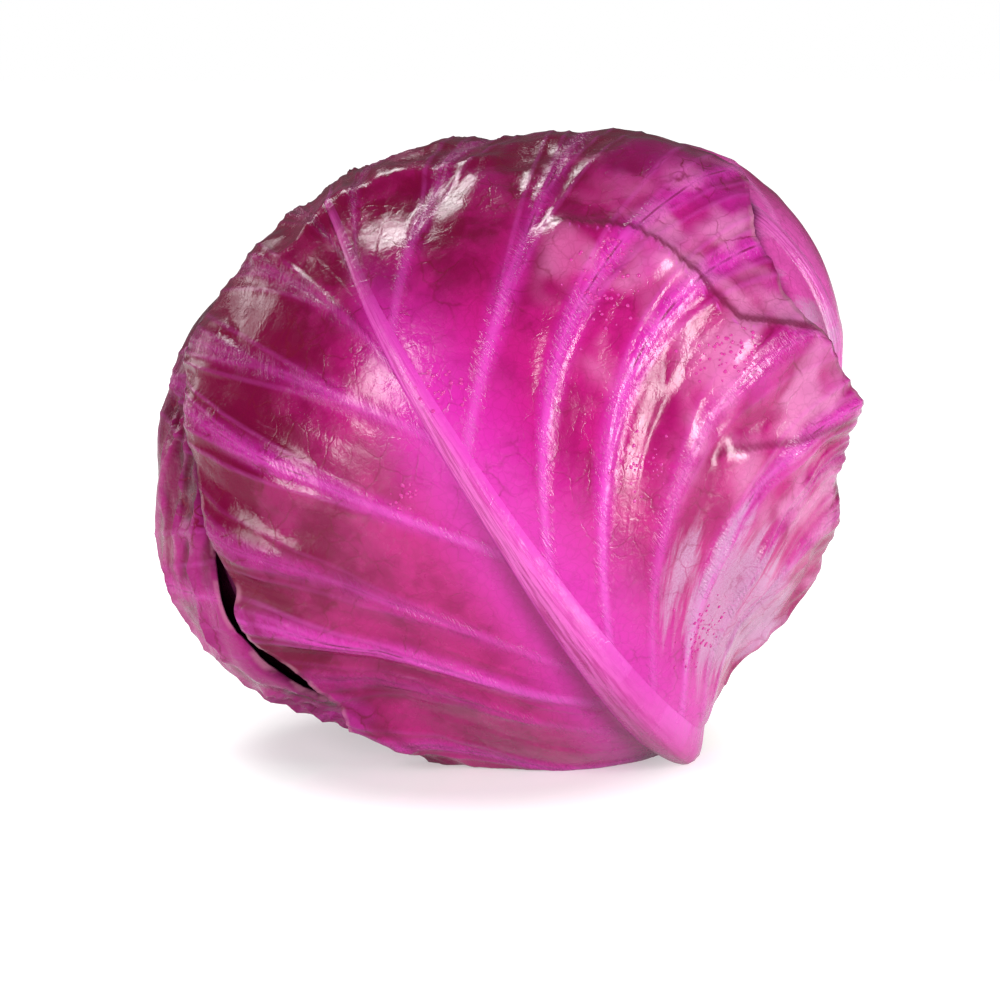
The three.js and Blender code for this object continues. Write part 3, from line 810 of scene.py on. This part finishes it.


# Rib: streaked along its length, sharp on its left; the painted shade of the groove on its left is laid in
# edgeTint
def ribTint(g, at, look, tint):
    rib = g.math("MINIMUM", g.ramp(at.ribSide, -0.4, 1.0, 1.0, 0.0), g.ramp(at.ribSide, -1.02, -0.8))
    at.rib = g.times(rib, g.ramp(at.up, -20.0, 75.0, 1.0, 0.25))
    along = g.combined(g.times(at.ribSide, 3.2), g.times(at.up, 0.035))
    at.streaks = g.noise(along, 1.6, 3.0, 0.65)
    skin = g.mix(g.ramp(at.up, -130.0, -30.0), look["ribBase"], look["rib"])
    skin = g.mix(g.ramp(at.streaks, 0.42, 0.62, 0.0, 0.8), skin, look["ribBase"])
    return g.mix(at.rib, tint, skin)


# Wax bloom: a lilac-grey film near one side of the heel, worn off in streaks along the veins
def bloomTint(g, at, look, tint):
    centre = (look["bloomX"], look["bloomY"] * 0.6, 0.0)
    away = g.vector("DISTANCE", g.vector("MULTIPLY", at.flat, (1.0, 0.6, 1.0)), centre, output="Value")
    film = g.noise(g.vector("MULTIPLY", at.flow, (3.2, 2.6, 1.0)), 1.0, 5.0, 0.62)
    film = g.math("ADD", film, g.ramp(away, 8.0, look["bloomReach"], 0.16, -0.2))
    film = g.times(g.ramp(film, 0.47, 0.64), g.ramp(at.grain, 0.35, 0.6, 0.6, 1.0))
    at.film = g.times(film, g.ramp(at.lines, 0.0, 0.8, 1.0, 0.6), look["bloomAmount"])
    return g.mix(at.film, tint, look["bloom"])


# Painted shade in the groove beside the rib and beside the folds, a painted highlight along the folds' lips,
# painted shade under the leaf above, a painted highlight on the rim, the cut base and the inner side
def edgeTint(g, at, look, tint):
    # painted shade in the groove beside the rib's left edge
    paintedGrooveShade = g.times(g.ramp(at.ribSide, -1.12, -1.0), g.ramp(at.ribSide, -1.0, -0.88, 1.0, 0.0))
    tint = g.mix(g.times(paintedGrooveShade, g.ramp(at.up, -40.0, 10.0, 0.6, 0.0)), tint, look["dark"])
    # painted shade beside each fold
    tint = g.mix(g.ramp(at.lip, -0.9, -0.1, 0.75, 0.0), tint, look["dark"])
    # painted highlight along each fold's lip
    tint = g.mix(g.ramp(at.lip, 0.45, 0.95, 0.0, 0.5), tint, look["vein"])
    at.shade = g.ramp(g.math("MULTIPLY_ADD", at.grain, -3.0, at.coverGap), -1.0, 5.0, 0.92, 0.0)
    tint = g.mix(at.shade, tint, look["shade"])
    # painted highlight: a pale line along the leaf's rim, broken in places
    tint = g.mix(g.times(g.ramp(at.margin, 0.982, 0.995, 0.0, 0.4), at.broken), tint, look["rim"])
    tint = g.mix(g.ramp(at.up, look["cutFrom"], look["cutFrom"] + 7.0, 1.0, 0.0), tint, look["cutEnd"])
    return g.mix(g.ramp(at.outside, 0.0, 0.4, 1.0, 0.0), tint, look["inside"])


# Relief too fine for the mesh: sunken network lines, grain, wrinkles across the veins, streaks on the rib
def fineRelief(g, at):
    height = g.times(at.lines, -0.1)
    height = g.math("MULTIPLY_ADD", at.fineLines, -0.04, height)
    height = g.math("MULTIPLY_ADD", g.noise(at.flat, 0.28, 3.0, 0.55), 0.65, height)
    height = g.math("MULTIPLY_ADD", at.dashes, 0.9, height)
    height = g.math("MULTIPLY_ADD", at.streaks, g.times(at.rib, 1.4), height)
    return g.math("MULTIPLY_ADD", at.grain, 0.08, height)


def leafMaterial(name, look):
    values = {key: look[key] for key in ("IOR", "Coat Weight", "Coat Roughness")}
    material, g, shader = newSkin(name, values)
    at = leafReadings(g, look)
    tint = bladeTint(g, at, look)
    for layer in (veinTint, ribTint, bloomTint, edgeTint):
        tint = layer(g, at, look, tint)
    g.wire(tint, shader.inputs["Base Color"])
    rough = g.math("MULTIPLY_ADD", at.film, look["bloomRoughness"], look["roughness"])
    rough = g.math("ADD", rough, g.ramp(g.noise(at.flat, 0.12, 4.0), 0.35, 0.65, -0.08, 0.1))
    g.wire(rough, shader.inputs["Roughness"])
    dull = g.math("MAXIMUM", at.shade, g.times(at.dark, 0.6))
    g.wire(g.times(g.math("SUBTRACT", 1.0, dull), look["gloss"]), shader.inputs["Specular IOR Level"])
    g.bump(fineRelief(g, at), shader, look["bumpDepth"], look["bumpStrength"])
    return material


# What is set for one leaf: its mesh, its relief in millimetres, and its skin where it differs from leafLook
plainLeaf = {
    "rowsPerVein": 26,
    "columns": 44,
    "ribColumns": 9,
    "crumple": (1.1, 1.1),
    "ruffle": 0.8,
    "streakX": 1.0,
    "streakY": 1.2,
    "sink": 1.5,
    "bare": 0.0,
    "notches": {},
    "raised": [],
    "look": {},
}
leafPieces = {
    "front_leaf": {
        "rowsPerVein": 28,
        "columns": 64,
        "ribColumns": 17,
        "crumple": (1.3, 2.1),
        "ruffle": 0.5,
        "streakX": 0.9,
        "streakY": 1.3,
        "sink": 2.4,
        "notches": {-1: [(4.4, 1.0, 0.07), (2.6, 0.8, 0.13)], 1: [(7.6, 0.5, 0.05)]},
        "raised": [(-84, -42, 13, 2.6)],
        "look": {"cutFrom": -150.0, "darkLeft": 0.65, "pale": 0.6},
    },
    "left_leaf": {
        "rowsPerVein": 36,
        "columns": 60,
        "ribColumns": 11,
        "crumple": (2.3, 2.3),
        "ruffle": 2.4,
        "streakX": 2.6,
        "streakY": 0.8,
        "sink": 3.2,
        "bare": 5.0,
        "look": {
            "dark": (0.08, 0.001, 0.02, 1),
            "blade": (0.24, 0.005, 0.08, 1),
            "bright": (0.56, 0.03, 0.30, 1),
            "paintedHollowShade": 0.85,
            "darkEdge": 0.6,
            "bloomAmount": 0.0,
            "gloss": 0.22,
            "Coat Weight": 0.0,
        },
    },
    "right_leaf": {
        "rowsPerVein": 36,
        "columns": 60,
        "ribColumns": 11,
        "crumple": (2.6, 1.9),
        "ruffle": 1.2,
        "sink": 2.8,
        "raised": [(-31, -119, 7, 3.2)],
        "look": {
            "bright": (0.76, 0.09, 0.46, 1),
            "vein": (0.82, 0.20, 0.58, 1),
            "darkEdge": 0.0,
            "edgeGlow": 0.85,
            "bloomX": -20.0,
            "bloomY": -50.0,
            "cutFrom": -126.0,
        },
    },
    "back_leaf": {
        "crumple": (1.8, 1.8),
        "ruffle": 1.0,
        "sink": 2.4,
        "look": {"bloomX": -30.0, "bloomY": 40.0},
    },
    "under_leaf": {},
}

for rank, leaf in enumerate(leaves):
    piece = {**plainLeaf, **leafPieces[leaf["name"]]}
    mesh = sheetMesh(leaf["name"] + "_fine", *leafArrays(leaf, rank, piece))
    skin = leafMaterial(leaf["name"] + "_skin", {**leafLook, **piece["look"]})
    leafObject = addObject(leaf["name"] + "_fine", mesh, skin)
    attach(leafObject, "root")
    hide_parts(leaf["name"])
print("stage: leaves made")

# Dew: small drops lying on the front leaf, thickest round a few places given as flat x, y and reach
dew = {
    "places": [(5, 18, 4), (51, 19, 6), (-18, 0, 4), (37, -24, 6), (27, -78, 7), (60, 26, 5), (70, -12, 6)],
    "Density": 500000.0,  # in a square metre, at the middle of a place
    "Smallest": 0.00016,
    "Largest": 0.00048,
    "Flatness": 0.55,
    "Seed": 5,
}


def dewTree():
    tree = bpy.data.node_groups.new("dewDrops", "GeometryNodeTree")
    sockets = {"Geometry": "Geometry", "Density": "Float", "Smallest": "Float", "Largest": "Float"}
    sockets.update({"Flatness": "Float", "Seed": "Int", "Material": "Material"})
    for name, kind in sockets.items():
        tree.interface.new_socket(name, in_out="INPUT", socket_type="NodeSocket" + kind)
    tree.interface.new_socket("Geometry", in_out="OUTPUT", socket_type="NodeSocketGeometry")
    g = Graph(tree)
    given = g.node("NodeGroupInput").outputs
    wet = g.node("GeometryNodeInputNamedAttribute", data_type="FLOAT")
    wet.inputs["Name"].default_value = "wetness"
    spread = g.node("GeometryNodeDistributePointsOnFaces", distribute_method="RANDOM")
    g.wire(given["Geometry"], spread.inputs["Mesh"])
    g.wire(g.times(wet.outputs["Attribute"], given["Density"]), spread.inputs["Density"])
    g.wire(given["Seed"], spread.inputs["Seed"])
    size = g.node("FunctionNodeRandomValue", data_type="FLOAT")
    g.wire(given["Smallest"], size.inputs[2])
    g.wire(given["Largest"], size.inputs[3])
    g.wire(given["Seed"], size.inputs["Seed"])
    across = size.outputs[1]
    drop = g.node("GeometryNodeMeshIcoSphere")
    drop.inputs["Radius"].default_value = 1.0
    drop.inputs["Subdivisions"].default_value = 2
    onPoints = g.node("GeometryNodeInstanceOnPoints")
    g.wire(spread.outputs["Points"], onPoints.inputs["Points"])
    g.wire(drop.outputs["Mesh"], onPoints.inputs["Instance"])
    g.wire(spread.outputs["Rotation"], onPoints.inputs["Rotation"])
    g.wire(g.combined(across, across, g.times(across, given["Flatness"])), onPoints.inputs["Scale"])
    real = g.wired("GeometryNodeRealizeInstances", onPoints.outputs["Instances"])
    painted = g.node("GeometryNodeSetMaterial")
    g.wire(real.outputs["Geometry"], painted.inputs["Geometry"])
    g.wire(given["Material"], painted.inputs["Material"])
    g.wire(painted.outputs["Geometry"], g.node("NodeGroupOutput").inputs["Geometry"])
    return tree


# A copy of the front leaf's mesh that says how wet its outer side is
def wetLeaf(mesh):
    wetMesh = mesh.copy()
    flat = np.zeros(len(wetMesh.vertices) * 3, np.float32)
    wetMesh.attributes["flat"].data.foreach_get("vector", flat)
    x, y = flat[0::3], flat[1::3]
    wetness = np.zeros(len(x))
    for placeX, placeY, reach in dew["places"]:
        wetness += np.exp(-((x - placeX) ** 2 + (y - placeY) ** 2) / reach**2)
    wetness[len(x) // 2 :] = 0
    layer = wetMesh.attributes.new("wetness", "FLOAT", "POINT")
    layer.data.foreach_set("value", wetness.astype(np.float32))
    return wetMesh


waterLook = {"Base Color": (0.66, 0.05, 0.34, 1), "Roughness": 0.04, "IOR": 1.33, "Transmission Weight": 0.15}
water = newSkin("dew_water", waterLook)[0]
wetObject = addObject("dew_bed", wetLeaf(bpy.data.objects["front_leaf_fine"].data), water)
modifier = wetObject.modifiers.new("drops", "NODES")
modifier.node_group = dewTree()
dewInputs = {**dew, "Material": water}
for item in modifier.node_group.interface.items_tree:
    if item.in_out == "INPUT" and item.name in dewInputs:
        modifier[item.identifier] = dewInputs[item.name]
dewMesh = bpy.data.meshes.new_from_object(wetObject.evaluated_get(bpy.context.evaluated_depsgraph_get()))
wetObject.modifiers.clear()
bpy.data.objects.remove(wetObject)
dewMesh.shade_smooth()
dewObject = linked("dew_drops", dewMesh)
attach(dewObject, "root")
print("stage: dew made,", len(dewMesh.polygons), "faces")


# Heart and stalk are rings round the stalk's axis, closed by a point at each end
def directionAt(fromStalk, around):
    return (
        np.outer(np.cos(fromStalk), toStalk)
        + np.outer(np.sin(fromStalk) * np.cos(around), toFront)
        + np.outer(np.sin(fromStalk) * np.sin(around), toSide)
    )


# The rings run away from the stalk's cut face, or with outwards towards it
def ringMesh(name, points, segments, outwards=False):
    faces = []
    rings = len(points)
    for j in range(segments):
        k = (j + 1) % segments
        faces.append((0, 1 + k, 1 + j))
        for i in range(rings - 3):
            low, high = 1 + i * segments, 1 + (i + 1) * segments
            faces.append((low + j, low + k, high + k, high + j))
        last = 1 + (rings - 3) * segments
        faces.append((last + j, last + k, last + segments))
    if outwards:
        faces = [face[:1] + face[:0:-1] for face in faces]
    return smoothMesh(name, np.concatenate(points), faces)


# A skin of two mottled tints with a fine grain, from the piece's own coordinates
def mottledSkin(name, look):
    material, g, shader = newSkin(name, {"Roughness": look["roughness"]})
    place = g.node("ShaderNodeTexCoord").outputs["Object"]
    tint = g.mix(g.ramp(g.noise(place, *look["mottle"]), 0.35, 0.7), look["tint"], look["otherTint"])
    g.wire(tint, shader.inputs["Base Color"])
    g.bump(g.noise(place, *look["grain"]), shader, look["grainDepth"])
    return material


heart = {
    "rings": 90,
    "segments": 160,
    "leaves": 5,
    "step": 1.2,
    "pocketGap": 0.8,
    "tint": (0.40, 0.03, 0.2, 1),
    "otherTint": (0.62, 0.2, 0.45, 1),
    "mottle": (40.0, 5.0),
    "roughness": 0.4,
    "grain": (160.0, 4.0),
    "grainDepth": 0.0006,
}
# The collar is radii and heights of the trimmed leaf bases, the crown is how far the cut face is domed
stalk = {
    "halfAngle": 9.2,
    "inner": 38.0,
    "face": 79.0,
    "collar": [
        *[(12.9, 75.0), (13.9, 76.0), (14.4, 77.0), (14.4, 77.5)],
        *[(14.2, 77.9), (13.4, 78.5), (12.4, 79.0)],
    ],
    "crown": 0.6,
    "segments": 96,
    "notches": 5,
    "notchDepth": 1.4,
    "tint": (0.62, 0.44, 0.26, 1),
    "otherTint": (0.22, 0.09, 0.04, 1),
    "mottle": (120.0, 6.0, 0.65),
    "roughness": 0.75,
    "grain": (300.0, 5.0),
    "grainDepth": 0.0008,
}

# Heart: the steps of its spiral leaves, with a pocket for the stalk
pocket = math.radians(stalk["halfAngle"]) + heart["pocketGap"] / stalk["face"]
collar = pocket + math.radians(0.6)
heartRings = [0, pocket, collar]
heartRings += [collar + (math.pi - collar) * i / heart["rings"] for i in range(1, heart["rings"])]
heartRings.append(math.pi)
heartPoints = []
for i, angle in enumerate(heartRings):
    count = 1 if angle in (0, math.pi) else heart["segments"]
    turns = np.arange(count) / heart["segments"] * 2 * math.pi
    direction = directionAt(np.full(count, angle), turns)
    if i < 2:
        radius = np.full(count, stalk["inner"] - heart["pocketGap"])
    else:
        winding = turns / (2 * math.pi) * heart["leaves"] + angle
        step = heart["step"] * math.sin(angle) * (1 - (winding - np.floor(winding)))
        radius = headRadius(direction) - head["layersDepth"] - head["heartInset"] - step
    heartPoints.append(placed(direction, radius))
heartMesh = ringMesh("heart_fine", heartPoints, heart["segments"])
heartObject = addObject("heart_fine", heartMesh, mottledSkin("heart_skin", heart))
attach(heartObject, "root")
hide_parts("heart")

# Stalk: a cone that widens outwards to the notched ring of leaf bases round its cut face
taper = math.tan(math.radians(stalk["halfAngle"]))
profile = [(0.0, stalk["inner"]), (stalk["inner"] * taper, stalk["inner"])]
profile += [(h * taper, h) for h in np.linspace(42, 74, 12)]
profile += stalk["collar"]
faceRadius, faceHeight = stalk["collar"][-1]
domeShares = (0.85, 0.7, 0.55, 0.4, 0.25, 0.12, 0.0)
profile += [(faceRadius * r, faceHeight + stalk["crown"] * (1 - r)) for r in domeShares]
stalkPoints = []
for r, h in profile:
    turns = np.arange(1 if r == 0 else stalk["segments"]) / stalk["segments"] * 2 * math.pi
    notch = 0.5 - 0.5 * np.cos(stalk["notches"] * turns)
    notch = stalk["notchDepth"] * notch * smoothstep(h, 75, 77) * min(1, r / 8)
    radius = np.maximum(r - notch + 0.01 * r * np.sin(turns * 7 + h), 0)
    ring = head["centre"] + toStalk * h + np.outer(np.cos(turns) * radius, toFront)
    stalkPoints.append(ring + np.outer(np.sin(turns) * radius, toSide))
stalkMesh = ringMesh("stalk_fine", stalkPoints, stalk["segments"], outwards=True)
stalkObject = addObject("stalk_fine", stalkMesh, mottledSkin("stalk_cut", stalk))
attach(stalkObject, "root")
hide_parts("stalk")
print("stage: heart and stalk made")


# Stage: pale glossy table, white surroundings and soft boxes
def lightBox(name, place, target, size, power):
    data = bpy.data.lights.new(name, "AREA")
    data.shape = "RECTANGLE"
    data.size, data.size_y = size
    data.energy = power
    lamp = linked(name, data)
    lamp.location = place
    lamp.rotation_euler = (Vector(target) - Vector(place)).to_track_quat("-Z", "Y").to_euler()


studio = {
    "worldStrength": 0.12,
    "boxes": [
        ("keyLeft", (-0.85, -0.85, 0.5), (0.42, 0.75), 13.5),
        ("keyRight", (1.05, -0.68, 0.28), (0.42, 0.65), 16.5),
        ("top", (-0.4, 0.65, 1.0), (0.5, 0.25), 5.5),
        ("rimLeft", (-0.95, 0.85, 0.45), (0.3, 0.6), 2.0),
    ],
}
for name, place, size, power in studio["boxes"]:
    lightBox(name, place, (0, 0, 0.075), size, power)
world = bpy.data.worlds.new("studioWhite")
bpy.context.scene.world = world
world.use_nodes = True
worldGraph = Graph(world.node_tree)
background = world.node_tree.nodes["Background"]
background.inputs["Color"].default_value = (1, 1, 1, 1)
cameraRay = worldGraph.node("ShaderNodeLightPath").outputs["Is Camera Ray"]
dim = studio["worldStrength"]
worldGraph.wire(worldGraph.math("MULTIPLY_ADD", cameraRay, 1 - dim, dim), background.inputs["Strength"])

# The table glows white except under the head, so that only a soft shade and a reflection show there
table = {
    "reach": 6.0,
    "shift": (0.012, 0.0, 0.0),
    "squeeze": (1.35, 1.0, 1.0),
    "shadeFrom": 0.055,
    "shadeTo": 0.105,
    "shadeGlow": 0.42,
    "bounceShare": 0.5,
}
reach = table["reach"]
floorMesh = bpy.data.meshes.new("tableTop")
corners = [(-reach, -reach, 0), (reach, -reach, 0), (reach, reach, 0), (-reach, reach, 0)]
floorMesh.from_pydata(corners, [], [(0, 1, 2, 3)])
glossLook = {"Base Color": (0.6, 0.6, 0.6, 1), "Roughness": 0.1, "IOR": 1.16, "Emission Color": (1, 1, 1, 1)}
floorMaterial, g, shader = newSkin("whiteGloss", glossLook)
place = g.node("ShaderNodeTexCoord").outputs["Object"]
away = g.vector("LENGTH", g.vector("MULTIPLY_ADD", place, table["squeeze"], table["shift"]), output="Value")
whiteness = g.ramp(away, table["shadeFrom"], table["shadeTo"], table["shadeGlow"], 1.0)
cameraRay = g.node("ShaderNodeLightPath").outputs["Is Camera Ray"]
seen = g.math("MULTIPLY_ADD", cameraRay, 1 - table["bounceShare"], table["bounceShare"])
g.wire(g.times(whiteness, seen), shader.inputs["Emission Strength"])
floor = addObject("tableTop", floorMesh, floorMaterial)

camera = {"distance": 0.9, "elevation": 8.0, "target": (-0.0008, 0.0, 0.0599), "focal": 132.8}
cameraData = bpy.data.cameras.new("photoCamera")
cameraData.lens = camera["focal"]
cameraData.sensor_width = 36
cameraObject = linked("photoCamera", cameraData)
elevation = math.radians(camera["elevation"])
back = Vector((0, -math.cos(elevation), math.sin(elevation)))
cameraObject.location = Vector(camera["target"]) + back * camera["distance"]
cameraObject.rotation_euler = (-back).to_track_quat("-Z", "Y").to_euler()
bpy.context.scene.camera = cameraObject
bpy.context.scene.view_settings.view_transform = "Standard"
print("stage: studio made")
